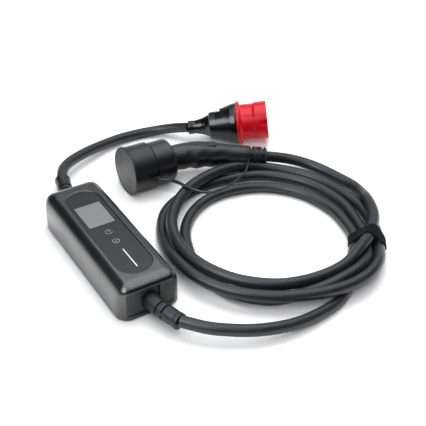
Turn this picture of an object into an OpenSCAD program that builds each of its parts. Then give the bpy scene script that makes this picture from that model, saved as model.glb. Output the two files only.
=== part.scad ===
/* [Control box] */
// Width of the box
box_w = 93; // [88:1:104]
// Length of the box, between its end rims
box_l = 262; // [250:1:300]
// Height of the box
box_h = 56; // [52:1:64]
// Corner radius of the box, seen from above
box_corner_r = 19.5; // [17:0.5:22]
// Width of the rounded shoulder round the top
shoulder_w = 19; // [14:0.5:19]
// Height of the rounded shoulder along the sides
shoulder_h = 26; // [12:1:30]
// Height of the rounded shoulder at the ends
end_shoulder_h = 10; // [7:0.5:12]
// Wall of the top cover
cover_wall = 3.5; // [3:0.1:4]
// Height of the base cover, up to the parting line
base_h = 5; // [4.6:0.1:6]
// Thickness of the base cover's floor
base_floor = 3; // [2.6:0.1:3.4]
// Radius of the lower outer edge
bottom_edge_r = 4.25; // [1:0.25:4.5]

/* [Control panel] */
// Distance from the box's side to the pill-shaped overlay
panel_side = 19.5; // [18.5:0.5:24]
// Distance from the box's end to the overlay
panel_end = 24; // [22:0.5:34]
// Thickness of the overlay
panel_t = 1.3; // [1:0.1:1.5]
// Depth of the overlay's face below the rim round it
panel_sink = 0.8; // [0.2:0.1:1]
// Width of the display window
display_w = 39.5; // [30:0.5:42]
// Length of the display window
display_l = 54.6; // [40:0.5:60]
// Distance from the overlay's rear end to the display's centre
display_from_end = 65; // [56:1:68]
// Thickness of the display module
display_t = 6; // [5:0.5:9]
// Length of the light bar
light_l = 43.5; // [30:0.5:50]
// Width of the light bar
light_w = 1.6; // [1.2:0.1:3]
// Distance from the overlay's front end to the light bar's centre
light_from_end = 36.3; // [35:0.1:46]

/* [End plates] */
// Width of the opening in each end of the cover
end_w = 72; // [66:1:74]
// Height of the opening's lower edge
end_low = 8; // [7.5:0.5:9.5]
// Height of the opening's upper edge
end_high = 46; // [42:0.5:46.5]
// Radius of the opening's upper corners
end_corner_r = 4; // [2:0.5:6]
// Depth of the end plates behind the end rims
end_recess = 2; // [1.5:0.1:2.4]
// Thickness of an end plate
plate_t = 4; // [3.4:0.1:5]
// Depth of the bevelled step in front of the opening
rim_step = 0.8; // [0.4:0.1:1.2]
// Depth of the channel over the boot
channel_depth = 2.6; // [1:0.2:2.8]

/* [Cable boots] */
// Height of the boots, and of the joint between the halves of an end plate
boot_z = 23.5; // [22:0.5:25]
// Radius of a boot at the box
boot_r = 13; // [12:0.25:13.5]
// Radius of a boot at its tip
boot_tip_r = 11.2; // [10:0.1:12]
// Length of a boot outside the box
boot_len = 56; // [50:1:62]
// Sideways reach of the front boot's tip
front_bend = 13; // [6:1:18]
// Sideways reach of the rear boot's tip
rear_bend = 10; // [6:1:18]
// Radius of the neck that the end plates clamp
boot_neck_r = 11; // [10:0.25:11.5]
// Radius of the flange behind the end plates
boot_flange_r = 14.5; // [13.5:0.5:15]
// Thickness of the flange
boot_flange_t = 3; // [2:0.5:4]

/* [Electronics] */
// Thickness of the main board
board_t = 1.6; // [1:0.2:2.4]
// Gap between the main board and the cover, at its sides
board_side_gap = 5; // [4:0.5:10]
// Gap between the main board and the cover, at its ends
board_end_gap = 16.5; // [16:0.5:22]
// Height of the board's underside over the base floor
board_lift = 6; // [5:0.5:7]
// Length of one relay
relay_l = 28; // [20:1:30]
// Width of one relay
relay_w = 14; // [10:1:16]
// Height of one relay
relay_h = 22; // [16:1:26]
// Length of the transformer's core
transformer_l = 24; // [18:1:30]
// Width of the transformer's core
transformer_w = 40; // [32:1:44]
// Height of the transformer's core
transformer_h = 30; // [24:1:32]
// Diameter of a cable core
core_d = 3.4; // [2.4:0.2:3.6]
// Diameter of a case screw
screw_d = 3; // [2.5:0.5:3.5]

/* [Industrial plug] */
// Outer radius of the sleeve
sleeve_r = 30; // [28:0.5:31]
// Outer radius of the band at the sleeve's mouth
mouth_r = 32; // [31.5:0.5:34]
// Wall of the sleeve
sleeve_wall = 3; // [2.4:0.2:3.6]
// Length of the sleeve in front of the flange
sleeve_l = 45; // [43:1:54]
// Radius of the flange ring
flange_r = 36; // [34.5:0.5:36]
// Thickness of the flange ring
flange_t = 6; // [5:0.5:8]
// Largest radius of the black body
plug_body_r = 33.5; // [32:0.5:34]
// Length of the body behind the flange
plug_body_l = 75; // [70:1:82]
// Radius of the ribbed gland
gland_r = 12; // [11:0.25:13]
// Length of the ribbed gland
gland_l = 8; // [7:0.5:12]
// Pitch radius of the pins
pin_pitch_r = 17.5; // [16:0.5:19]
// Length of the latch's recess along the plug
latch_l = 18; // [14:1:20]
// Width of the key slot at the sleeve's mouth
key_w = 9; // [6:0.5:12]
// Length of the key slot
key_l = 10; // [6:0.5:16]
// Diameter of a phase or neutral pin
phase_pin_d = 5; // [4:0.5:6]
// Diameter of the earth pin
earth_pin_d = 7; // [6:0.5:8]

/* [Vehicle connector] */
// Radius of the cap's end disc
cap_disc_r = 38.4; // [37.5:0.1:38.4]
// Radius of the cap's skirt
cap_r = 37; // [36:0.25:37.25]
// Wall of the cap
cap_wall = 3; // [2.4:0.2:3.6]
// Length of the cap
cap_l = 40; // [36:1:46]
// Radius of the connector's head
head_r = 34.5; // [33:0.25:34.5]
// Length of the head, without its chamfer
head_l = 30.5; // [26:0.5:36]
// Radius of the connector's nose
nose_r = 28; // [26:0.5:29]
// Half width of the grip where it is thickest
grip_r = 22; // [20:0.5:23]
// Radius of the grip at the strain relief
grip_end_r = 16; // [15:0.25:17]
// Depth of the finger hollows
finger_depth = 2.6; // [0:0.2:3]
// Radius of the strain relief
relief_r = 15; // [13:0.25:15]
// Length of the strain relief
relief_l = 33.5; // [28:0.5:38]

/* [Cables] */
// Diameter of both cables
cable_d = 17; // [15:0.5:17]
// Inner radius of the coil
coil_in_r = 112.5; // [105:0.5:118]
// Outer radius of the coil
coil_out_r = 166.5; // [160:0.5:167]
// Height of the coil, two cables
coil_h = 34; // [30:1:35]
// Width of the strap
strap_w = 17; // [14:1:26]
// Thickness of the strap
strap_t = 2; // [1.5:0.25:3]
// Diameter of the tether
tether_d = 4; // [3:0.2:5]

/* [Fit] */
// Gap between pieces that slide into each other
fit_gap = 0.2; // [0.1:0.05:0.3]

/* [Hidden] */
$fn = 64;
overlap = 0.5;
shell_colour = "#26282b";
rubber_colour = "#34363a";
plug_red = "#c8202c";
metal_colour = "#c9b27a";

// Shoulder and case
shoulder_steps = 12;
corner_steps = 10;
shoulder = min(shoulder_w, box_corner_r - 1.5);
cavity_w = box_w - 2 * cover_wall;
cavity_l = box_l - 2 * cover_wall;
cavity_top = box_h - cover_wall;
tongue_t = 1.5;
tongue_h = 2.4;
seal_w = 1.2;
seal_h = 1;
boss_r = 5;
boss_x = cavity_w / 2 - 12;
boss_y = cavity_l / 2 - 26;
boss_top = cavity_top - overlap;
screw_head_r = screw_d / 2 + 1.6;
screw_head_h = 1.6;
screw_len = 14;
peg_r = 3;
peg_x = 28;
peg_y = 60;

// Control panel
panel_w = box_w - 2 * panel_side;
panel_l = box_l - 2 * panel_end;
panel_gap = 0.35;
panel_top = box_h - panel_sink;
recess_floor = panel_top - panel_t;
display_y = panel_l / 2 - display_from_end;
light_y = light_from_end - panel_l / 2;
pocket_gap = fit_gap / 2;
display_rim = 3;

// End plates, boots and what stands on the board
plate_face = box_l / 2 - end_recess;
plate_back = plate_face - plate_t;
channel_w = 2 * boot_r + 2;
boot_tail = 4;
boot_steps = 16;
slot_w = 2.6;
front_rise = -1.5;
rear_rise = 5;
boot_end_y = plate_back - boot_flange_t - boot_tail;
board_w = cavity_w - 2 * board_side_gap;
board_l = cavity_l - 2 * board_end_gap;
board_z = base_floor + board_lift;
board_top = board_z + board_t;
block_w = 48;
block_d = 12;
block_h = 20;
block_y = boot_end_y - 34;
core_pitch = 9;
core_ring_r = 4;
sensor_in = 8.6;
sensor_y = boot_end_y - 3;
corner_cut = 12;
relay_x = 18;
relay_y = -30;
relay_pitch = 34;
transformer_y = 40;
limb_w = 6;
window_w = 8;
bobbin_gap = 0.1;
winding_proud = 4;

// Plug: placed on the ground on its flange, its mouth turned up a little
plug_yaw = -31;
plug_pitch = 7;
plug_pos = [332, 181, flange_r * cos(plug_pitch) + flange_t / 2 * sin(plug_pitch) + 0.1];
insert_t = 7;
pin_l = 32;
key_turn = 70;
latch_turn = -30;
latch_end = -48.5;
latch_floor_r = 21;
latch_half_w = 15;

// Vehicle connector: lies on the edge of its cap, its nose end raised by the cap
connector_pitch = 2.5;
connector_pos = [99, 143, cap_disc_r + 0.1];
disc_t = 3;
head_start = cap_l + 1.6;
head_end = head_start + head_l;
chamfer_l = 7;
neck_r = 19;
grip_path = [[head_end - 14, 0, 0], [head_end + 27, 0, 3], [head_end + 52, -15, 5],
    [head_end + 120.4, -46.8, 0]];
grip_end = grip_path[3];
relief_yaw = -25.1;
relief_pitch = 3.6;
finger_start = 0.36;
finger_pitch = 0.18;
inlay_l = 44;
inlay_w = 13;
inlay_t = 1.4;
ring_l = 4;
lug_turn = 96;

// Cord routes: the points that the centre of each cable passes through
cable_r = cable_d / 2;
supply_route = [[10, 185, 28.5], [14, 197, 28.5], [22, 212, 27.5], [34, 225, 26], [53, 238, 23.5],
    [75, 249.5, 20.5], [100, 260, 17], [127, 269.5, 13], [153, 275.5, 10.5], [178, 276.5, 9], [200, 273.5, 9],
    [220, 266, 11], [237, 253.5, 16], [249, 240, 21], [258.8, 225, 26]];
box_lead_route = [[13, -186, 24], [22, -197, 23.5], [39, -216, 23], [60, -231, 22], [82, -244, 21],
    [107, -253, 19], [135, -258, 16], [160, -258, 13], [187, -255, 10.5], [215, -249, 9], [240, -242, 8.8],
    [262, -233, 8.8]];
handle_lead_route = [[372, -138, 18], [385, -122, 14], [398, -94, 10.5], [406, -63, 9], [408, -40, 9],
    [403, -14, 9], [391, 27, 10], [371, 55, 15], [352, 70, 19], [338, 77, 22], [323, 83, 25]];
tether_route = [[135, 102.2, 32.7], [150, 93, 33], [156, 76, 36.3], [162, 57, 36.5], [171, 40, 36.5],
    [184, 27, 36.8], [202, 22, 38], [229, 29, 40], [246, 36, 40.5], [261, 47, 40], [272, 60, 38.5],
    [281.5, 71, 36.3], [286, 80.5, 34.6]];
coil_centre = [224, -77, 0];
coil_edge_r = cable_r;
strap_angle = -39;
strap_slack = 0.7;
strap_corner_r = 4;

function unit(v) = v / norm(v);
function side_of(t) = unit(cross(t, [0, 0, 1]));
function up_of(t) = cross(side_of(t), t);
function heading(p, i) = unit(p[min(i + 1, len(p) - 1)] - p[max(i - 1, 0)]);
function bezier(p, t) = pow(1 - t, 3) * p[0] + 3 * t * pow(1 - t, 2) * p[1]
    + 3 * t * t * (1 - t) * p[2] + pow(t, 3) * p[3];

// Ring of points round a centre, square to the heading t
function ring(c, t, r, n) = [for (k = [0 : n - 1]) c + r * (cos(360 * k / n) * side_of(t)
    + sin(360 * k / n) * up_of(t))];

// Closed solid through a list of rings that all have n points
module skin(rings) {
    n = len(rings[0]);
    m = len(rings);
    walls = [for (i = [0 : m - 2], k = [0 : n - 1])
        [i * n + k, i * n + (k + 1) % n, (i + 1) * n + (k + 1) % n, (i + 1) * n + k]];
    start_cap = [[for (k = [n - 1 : -1 : 0]) k]];
    end_cap = [[for (k = [0 : n - 1]) (m - 1) * n + k]];
    polyhedron(points = [for (r = rings, p = r) p], faces = concat(walls, start_cap, end_cap), convexity = 6);
}

module tube(route, r, sides) {
    skin([for (i = [0 : len(route) - 1]) ring(route[i], heading(route, i), r, sides)]);
}

// Outer points of a section, from bottom to top, each as [inset from the side, height]
function straight_edge(z0, z1) = [[0, z0], [0, z1]];
function base_edge(r, z1) = concat([for (i = [0 : 6]) let (a = 15 * i) [r * (1 - sin(a)), r * (1 - cos(a))]],
    [[0, z1]]);

// Solid on a rounded rectangle, whose sides follow the given edge
module plan_block(w, l, r, edge) {
    last = len(edge) - 1;
    for (x = [-1, 1], y = [-1, 1])
        translate([x * (w / 2 - r), y * (l / 2 - r), 0])
            rotate_extrude()
                polygon(concat([[0, edge[0][1]]], [for (e = edge) [r - e[0], e[1]]], [[0, edge[last][1]]]));
    translate([0, l / 2 - r, 0])
        rotate([90, 0, 0])
            linear_extrude(l - 2 * r)
                edge_section(w / 2, edge);
    translate([r - w / 2, 0, 0])
        rotate([90, 0, 90])
            linear_extrude(w - 2 * r)
                edge_section(l / 2, edge);
}

// Shoulder height at an angle round a corner: the sides' at 0 degrees and the ends' at 90
function shoulder_at(turn, grow) = end_shoulder_h + (shoulder_h - end_shoulder_h) * pow(cos(turn), 4) - grow;
function case_point(x, y, turn, w, l, rise, grow) = let (
    r = box_corner_r - grow - (shoulder - grow) * (1 - cos(rise)), keep = box_corner_r - grow)
    [x * (w / 2 - keep + r * cos(turn)), y * (l / 2 - keep + r * sin(turn)),
        box_h - grow - shoulder_at(turn, grow) * (1 - sin(rise))];
function case_ring(w, l, rise, grow) = [for (side = [[1, 1], [-1, 1], [-1, -1], [1, -1]], i = [0 : corner_steps])
    let (turn = 90 * (side.x * side.y > 0 ? i : corner_steps - i) / corner_steps)
    case_point(side.x, side.y, turn, w, l, rise, grow)];

// Case with one flowing shoulder, which is tall along the sides and low at the ends
module case_block(w, l, z0, grow) {
    foot = [for (p = case_ring(w, l, 0, grow)) [p.x, p.y, z0]];
    skin(concat([for (i = [shoulder_steps : -1 : 0]) case_ring(w, l, 90 * i / shoulder_steps, grow)],
        [foot]));
}

module edge_section(half, edge) {
    polygon(concat([for (e = edge) [half - e[0], e[1]]],
        [for (i = [len(edge) - 1 : -1 : 0]) [edge[i][0] - half, edge[i][1]]]));
}

module stadium(w, l) {
    square([w, l - w], center = true);
    for (y = [-1, 1])
        translate([0, y * (l - w) / 2])
            circle(d = w);
}

module rounded_rect(w, h, r) {
    square([w - 2 * r, h], center = true);
    square([w, h - 2 * r], center = true);
    for (x = [-1, 1], y = [-1, 1])
        translate([x * (w / 2 - r), y * (h / 2 - r)])
            circle(r);
}

module at_bosses() {
    for (x = [-1, 1], y = [-1, 1])
        translate([x * boss_x, y * boss_y, 0])
            children();
}

// Turns what is drawn for the front end round to the rear end
module at_rear() {
    mirror([0, 1, 0])
        children();
}

// Opening in the end of the cover, as an outline in X and Z
module end_outline(shrink) {
    r = end_corner_r - shrink;
    low = end_low + shrink;
    high = end_high - shrink;
    half = end_w / 2 - shrink;
    translate([-half, low])
        square([2 * half, high - low - r]);
    translate([r - half, low])
        square([2 * (half - r), high - low]);
    for (x = [-1, 1])
        translate([x * (half - r), high - r])
            circle(r);
}

module end_opening() {
    translate([0, plate_back - 1, 0])
        rotate([90, 0, 180])
            linear_extrude(plate_t + end_recess + 3)
                end_outline(0);
    translate([0, box_l / 2 - rim_step, 0])
        rotate([90, 0, 180])
            linear_extrude(rim_step + 1)
                end_outline(-rim_step);
}

module panel_solid(shrink, z0, z1) {
    translate([0, 0, z0])
        linear_extrude(z1 - z0)
            stadium(panel_w - 2 * shrink, panel_l - 2 * shrink);
}

module display_window(grow, z0, z1) {
    translate([0, display_y, z0])
        linear_extrude(z1 - z0)
            square([display_w + 2 * grow, display_l + 2 * grow], center = true);
}

module light_slot(grow, z0, z1) {
    translate([0, light_y, z0])
        linear_extrude(z1 - z0)
            stadium(light_w + 2 * grow, light_l + 2 * grow);
}

module housing_cover() {
    color(shell_colour)
    difference() {
        union() {
            difference() {
                case_block(box_w, box_l, base_h, 0);
                case_block(cavity_w, cavity_l, base_h - 1, cover_wall);
            }
            at_bosses()
                translate([0, 0, base_h])
                    cylinder(r = boss_r, h = boss_top - base_h);
        }
        panel_solid(0, recess_floor, box_h + 1);
        display_window(pocket_gap, cavity_top - 1, box_h);
        light_slot(pocket_gap, cavity_top - 1, box_h);
        at_bosses()
            translate([0, 0, base_h - 1])
                cylinder(d = screw_d + fit_gap, h = screw_len);
        end_opening();
        at_rear()
            end_opening();
    }
}

module base_cover() {
    pad_l = boss_r * 2;
    color(shell_colour)
    difference() {
        union() {
            difference() {
                plan_block(box_w, box_l, box_corner_r, base_edge(bottom_edge_r, base_h));
                plan_block(cavity_w - 2, cavity_l - 2, box_corner_r - cover_wall - 1,
                    straight_edge(base_floor, base_h + 1));
            }
            difference() {
                plan_block(cavity_w - 2 * fit_gap, cavity_l - 2 * fit_gap, box_corner_r - cover_wall - fit_gap,
                    straight_edge(base_floor, base_h + tongue_h));
                plan_block(cavity_w - 2 * (fit_gap + tongue_t), cavity_l - 2 * (fit_gap + tongue_t),
                    box_corner_r - cover_wall - fit_gap - tongue_t, straight_edge(base_floor - 1, base_h + 4));
            }
            at_bosses()
                translate([0, 0, base_floor - overlap])
                    cylinder(d = pad_l, h = base_h - base_floor + overlap);
            for (x = [-1, 1], y = [-1, 1])
                translate([x * peg_x, y * peg_y, base_floor - overlap])
                    cylinder(r = peg_r, h = board_lift + overlap);
        }
        at_bosses() {
            translate([0, 0, -1])
                cylinder(d = screw_d + 2 * fit_gap, h = base_h + 2);
            translate([0, 0, -1])
                cylinder(r = screw_head_r + fit_gap, h = screw_head_h + 1);
        }
        seal_ring(fit_gap / 2, base_h - seal_h, base_h + 1);
    }
}

module seal_ring(grow, z0, z1) {
    mid = cover_wall / 2 - 0.3;
    outer = mid - seal_w / 2 - grow;
    inner = mid + seal_w / 2 + grow;
    difference() {
        plan_block(box_w - 2 * outer, box_l - 2 * outer, box_corner_r - outer, straight_edge(z0, z1));
        plan_block(box_w - 2 * inner, box_l - 2 * inner, box_corner_r - inner, straight_edge(z0 - 1, z1 + 1));
    }
}

module case_seal() {
    color("#8a8f94")
        seal_ring(0, base_h - seal_h, base_h);
}

module case_screws() {
    color("silver")
        at_bosses() {
            translate([0, 0, screw_head_h - 1.4])
                difference() {
                    cylinder(r = screw_head_r, h = 1.4);
                    translate([0, 0, -1])
                        cylinder(r = screw_d / 2.6, h = 1.8, $fn = 6);
                }
            cylinder_above(screw_head_h, screw_d / 2, screw_len - 3);
        }
}

module cylinder_above(z, r, h) {
    translate([0, 0, z - 0.1])
        cylinder(r = r, h = h + 0.1);
}

// Whole end plate at the front end, before it is split at the height of the boots
module end_plate() {
    difference() {
        translate([0, -plate_face, 0])
            rotate([90, 0, 0])
                translate([0, 0, -plate_t])
                    linear_extrude(plate_t)
                        end_outline(fit_gap);
        translate([0, -plate_back + 1, boot_z])
            rotate([90, 0, 0])
                cylinder(r = boot_neck_r + fit_gap, h = plate_t + 2);
        translate([-channel_w / 2, -plate_face - 1, boot_z])
            cube([channel_w, channel_depth + 1, end_high]);
        translate([0, -plate_face + channel_depth, boot_z])
            rotate([90, 0, 0])
                cylinder(d = channel_w, h = channel_depth + 1);
    }
}

module plate_half(z0, z1) {
    color("#2f3135")
    intersection() {
        end_plate();
        translate([-box_w / 2, -box_l / 2, z0])
            cube([box_w, box_l / 2, z1 - z0]);
    }
}

module plate_upper() {
    plate_half(boot_z + fit_gap / 2, box_h);
}

module plate_lower() {
    plate_half(0, boot_z - fit_gap / 2);
}

module control_panel() {
    color("#3a3c3f")
    difference() {
        panel_solid(panel_gap, recess_floor, panel_top);
        display_window(pocket_gap, recess_floor - 1, box_h);
        light_slot(pocket_gap, recess_floor - 1, box_h);
    }
}

module display() {
    color("#8d8f90") {
        display_window(-pocket_gap, cavity_top - 0.5, panel_top - 0.2);
        display_window(display_rim, cavity_top - display_t, cavity_top);
    }
}

module light_bar() {
    color("white") {
        light_slot(0, cavity_top - 0.5, panel_top);
        light_slot(1.5, cavity_top - 3, cavity_top);
    }
}

// Centre line of a boot outside the box, which bends aside and up or down towards its tip
function boot_point(t, bend, rise) = [bend * pow(t, 1.6), -plate_face - boot_len * t,
    boot_z + rise * pow(t, 1.6)];
function boot_heading(t, bend, rise) = unit(boot_point(t + 0.02, bend, rise)
    - boot_point(max(t - 0.02, 0), bend, rise));
function boot_profile(t) = boot_r + (boot_tip_r - boot_r) * pow(t, 0.8) + (t > 0.93 ? 0.6 : 0);

module boot(bend, rise) {
    stations = [for (i = [0 : boot_steps]) i / boot_steps];
    color(rubber_colour) {
        difference() {
            skin([for (t = stations) ring(boot_point(t, bend, rise), boot_heading(t, bend, rise),
                boot_profile(t), 32)]);
            boot_slot(0.4, 20, bend, rise);
            boot_slot(0.58, -20, bend, rise);
        }
        translate([0, -plate_face - 1, boot_z])
            rotate([-90, 0, 0])
                boot_root();
    }
}

module boot_root() {
    cylinder(r = boot_neck_r, h = plate_t + 1 + overlap);
    translate([0, 0, plate_t + 1])
        cylinder(r = boot_flange_r, h = boot_flange_t);
    translate([0, 0, plate_t + 1])
        cylinder(r = boot_neck_r - 1, h = boot_flange_t + boot_tail);
}

// Groove round most of the boot, open on its outside
module boot_slot(t, turn, bend, rise) {
    r = boot_profile(t);
    h = boot_heading(t, bend, rise);
    translate(boot_point(t, bend, rise))
        rotate([0, acos(h.z), atan2(h.y, h.x)])
            difference() {
                translate([0, 0, -slot_w / 2])
                    cylinder(r = r + 3, h = slot_w);
                translate([0, 0, -slot_w])
                    cylinder(r = r - 3, h = 2 * slot_w);
                rotate([0, 0, turn])
                    translate([-2, -r - 3, -slot_w])
                        cube([4, 4, 2 * slot_w]);
            }
}

module main_board() {
    color("#1f6b45")
    difference() {
        translate([-board_w / 2, -board_l / 2, board_z])
            cube([board_w, board_l, board_t]);
        for (x = [-1, 1], y = [-1, 1])
            translate([x * (boss_x + corner_cut), y * (boss_y + corner_cut), board_z + board_t / 2])
                cube(2 * (boss_r + 1 + corner_cut), center = true);
    }
}

module relays() {
    color("#2c4f86")
        for (y = [-1, 1], x = [-1, 1])
            translate([x * relay_x - relay_w / 2, relay_y + y * relay_pitch / 2 - relay_l / 2, board_top])
                cube([relay_w, relay_l, relay_h]);
}

// Transformer: laminated core with two windows, round a bobbin that stands proud of it
module power_supply() {
    window_x = limb_w + window_w;
    bobbin_w = 2 * (window_x - bobbin_gap);
    bobbin_l = transformer_l + 2 * winding_proud;
    window_h = transformer_h - 2 * limb_w;
    translate([0, transformer_y, board_top]) {
        color("#6b6e72")
        difference() {
            translate([-transformer_w / 2, -transformer_l / 2, 0])
                cube([transformer_w, transformer_l, transformer_h]);
            for (x = [-1, 1])
                translate([x * (limb_w + window_w / 2) - window_w / 2, -transformer_l / 2 - 1, limb_w])
                    cube([window_w, transformer_l + 2, window_h]);
        }
        color("#b8863a")
        difference() {
            translate([-bobbin_w / 2, -bobbin_l / 2, limb_w + bobbin_gap])
                cube([bobbin_w, bobbin_l, window_h - 2 * bobbin_gap]);
            translate([-limb_w - bobbin_gap, -transformer_l / 2 - bobbin_gap, 0])
                cube([2 * (limb_w + bobbin_gap), transformer_l + 2 * bobbin_gap, transformer_h]);
        }
    }
}

// Ring on its foot; the cores of the vehicle side pass through it
module current_sensor() {
    outer = boot_z - board_top - 0.2;
    half = 2.4;
    color("#a8322a")
    translate([0, -sensor_y, boot_z]) {
        rotate([90, 0, 0])
            rotate_extrude()
                polygon([[sensor_in, -half], [outer - 1, -half], [outer, 1 - half], [outer, half - 1],
                    [outer - 1, half], [sensor_in, half]]);
        translate([-7, -half, board_top - boot_z])
            cube([14, 2 * half, 3]);
    }
}

module terminal_block(y) {
    color("#3f6f4e")
        translate([0, y, board_top])
        difference() {
            translate([-block_w / 2, -block_d / 2, 0])
                cube([block_w, block_d, block_h]);
            for (i = [-2 : 2])
                translate([i * core_pitch - 2.5, -2.5, block_h - 4])
                    cube([5, 5, 5]);
        }
}

module rod(a, b, r) {
    v = b - a;
    translate(a)
        rotate([0, acos(v.z / norm(v)), atan2(v.y, v.x)])
            cylinder(r = r, h = norm(v));
}

// Five cores that fan out from the boot to the terminal block, drawn for the rear end
module cores() {
    start_y = boot_end_y;
    end_y = block_y + block_d / 2;
    for (i = [-2 : 2]) {
        a = 72 * i;
        start = [core_ring_r * sin(a), start_y, boot_z + core_ring_r * cos(a)];
        end = [i * core_pitch, end_y, board_top + 8];
        color(i == 0 ? "#4d8a3c" : "#6b4a32")
            rod(start, end, core_d / 2);
    }
}

module in_plug() {
    translate(plug_pos)
        rotate([0, -plug_pitch, plug_yaw])
            children();
}

// Profile in [distance along the plug, radius], turned round the plug's axis
module turned(profile) {
    rotate([0, 90, 0])
        rotate_extrude()
            polygon([for (p = profile) [p[1], p[0]]]);
}

module plug_body() {
    front = -flange_t / 2;
    back = front - plug_body_l;
    k = plug_body_r / 33.5;
    barrel_end = latch_end - 0.5;
    color(shell_colour)
    in_plug()
    difference() {
        turned([[front, 0], [front, plug_body_r], [front - 3, plug_body_r], [front - 10, 32.2 * k],
            [front - 18, 29.6 * k], [front - 27, 27.2 * k], [front - 36, 24.9 * k],
            [barrel_end + 0.6, 23.2 * k], [barrel_end, 22.6 * k], [barrel_end - 0.6, 20.8 * k],
            [front - 50, 18.2 * k], [front - 54, 16 * k], [front - 60, 13.7 * k], [front - 66, 12.4 * k],
            [back + 4, gland_r - 0.6], [back, gland_r - 0.8], [back, 0]]);
        turned([[front - 6, 0], [front - 6, 24 * k], [front - 30, 18 * k], [front - 52, 12 * k],
            [front - 60, cable_r], [front - 60, 0]]);
        rotate([0, 90, 0])
            translate([0, 0, back - 1])
                cylinder(r = cable_r, h = 30);
        latch_recess();
    }
}

// Recess across the back of the plug body, which the latch slides in
module latch_recess() {
    rotate([latch_turn, 0, 0])
        translate([latch_end, -latch_half_w, latch_floor_r])
            cube([latch_l, 2 * latch_half_w, plug_body_r]);
}

module plug_latch() {
    w = latch_half_w;
    color("#55595e")
    in_plug()
        rotate([latch_turn, 0, 0])
            translate([latch_end + 2, -w / 2, latch_floor_r]) {
                cube([latch_l - 4, w, 1.2]);
                for (i = [0 : 3])
                    translate([1.5 + 3 * i, 1, 1])
                        cube([1.2, w - 2, 0.8]);
            }
}

module plug_gland() {
    back = -flange_t / 2 - plug_body_l;
    groove = gland_l / 8;
    color(rubber_colour)
    in_plug()
        turned(concat([[back, 0]], [for (i = [0 : 3]) each [[back - i * 2 * groove, gland_r],
            [back - (2 * i + 1.2) * groove, gland_r], [back - (2 * i + 1.2) * groove, gland_r - 1.4],
            [back - (2 * i + 2) * groove, gland_r - 1.4]]], [[back - gland_l, 0]]));
}

module plug_flange_ring() {
    color(plug_red)
    in_plug()
        turned([[-flange_t / 2, 0], [-flange_t / 2, flange_r - 0.8], [-flange_t / 2 + 0.8, flange_r],
            [flange_t / 2 - 0.8, flange_r], [flange_t / 2, flange_r - 0.8], [flange_t / 2, 0]]);
}

module plug_sleeve() {
    start = flange_t / 2;
    inner = sleeve_r - sleeve_wall;
    color(plug_red)
    in_plug()
    difference() {
        turned([[start, inner], [start, sleeve_r + 2], [start + 2, sleeve_r],
            [start + sleeve_l * 0.47, sleeve_r], [start + sleeve_l * 0.56, mouth_r],
            [start + sleeve_l, mouth_r], [start + sleeve_l, inner]]);
        rotate([key_turn, 0, 0])
            translate([start + sleeve_l - key_l, -key_w / 2, mouth_r - 2.4])
                cube([key_l + 1, key_w, 6]);
    }
}

module plug_insert() {
    color("#232427")
    in_plug()
        turned([[flange_t / 2, 0], [flange_t / 2, sleeve_r - sleeve_wall - fit_gap],
            [flange_t / 2 + insert_t, sleeve_r - sleeve_wall - fit_gap], [flange_t / 2 + insert_t, 0]]);
}

// Round pin with a chamfered tip, on the pin carrier
module plug_pin(angle, d) {
    rotate([angle, 0, 0])
        translate([flange_t / 2 + insert_t, 0, pin_pitch_r])
            rotate([0, 90, 0]) {
                cylinder(d = d, h = pin_l - 1);
                translate([0, 0, pin_l - 1])
                    cylinder(d1 = d, d2 = d - 2, h = 1);
            }
}

module plug_phase_pins() {
    color(metal_colour)
    in_plug()
        for (i = [1 : 4])
            plug_pin(key_turn + 72 * i, phase_pin_d);
}

module plug_earth_pin() {
    color(metal_colour)
    in_plug()
        plug_pin(key_turn, earth_pin_d);
}

module in_connector() {
    translate(connector_pos)
        rotate([0, connector_pitch, 0])
            children();
}

module connector_cap() {
    inner = cap_r - cap_wall;
    color(rubber_colour)
    in_connector() {
        turned([[0, 0], [0, cap_disc_r - 1], [1, cap_disc_r], [disc_t, cap_disc_r], [disc_t + 0.6, cap_r],
            [cap_l, cap_r], [cap_l, inner], [disc_t + 1, inner], [disc_t + 1, 0]]);
        rotate([lug_turn, 0, 0])
            translate([cap_l - 8, -4, cap_r - 0.6])
                cube([8, 8, 4]);
    }
}

// Centre and half width of the grip at station t, from head to strain relief
function grip_point(t) = bezier(grip_path, t);
function grip_half(t) = t < 0.55 ? neck_r + (grip_r - neck_r) * (1 - cos(180 * t / 0.55)) / 2
    : grip_r + (grip_end_r - grip_r) * (1 - cos(180 * (t - 0.55) / 0.45)) / 2;
function grip_heading(t) = unit(grip_point(min(t + 0.01, 1)) - grip_point(max(t - 0.01, 0)));
function in_fingers(t) = t > finger_start && t < finger_start + 3 * finger_pitch;
function finger_wave(t) = in_fingers(t) ? (1 - cos(360 * (t - finger_start) / finger_pitch)) / 2 : 0;
function grip_r_at(t, a) = grip_half(t) - finger_depth * max(0, cos(a + 30)) * finger_wave(t);
function grip_ring(c, h, t, n) = [for (k = [0 : n - 1]) let (a = 360 * k / n)
    c + grip_r_at(t, a) * (cos(a) * side_of(h) + sin(a) * up_of(h))];

module grip() {
    n = 32;
    m = 30;
    skin([for (i = [0 : m]) grip_ring(grip_point(i / m), grip_heading(i / m), i / m, n)]);
}

module connector_shell() {
    color("#2b2d30")
    in_connector()
    difference() {
        union() {
            turned([[head_start, 0], [head_start, head_r - 1], [head_start + 1, head_r], [head_end, head_r],
                [head_end + 3, head_r - 1.5], [head_end + chamfer_l, neck_r + 3],
                [head_end + chamfer_l + 3, neck_r], [head_end + chamfer_l + 3, 0]]);
            grip();
        }
        translate([head_start - 1, 0, 0])
            rotate([0, 90, 0])
                cylinder(r = nose_r - 2, h = 12);
        at_inlay()
            linear_extrude(10)
                stadium(inlay_w + 2 * fit_gap, inlay_l + 2 * fit_gap);
    }
}

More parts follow.
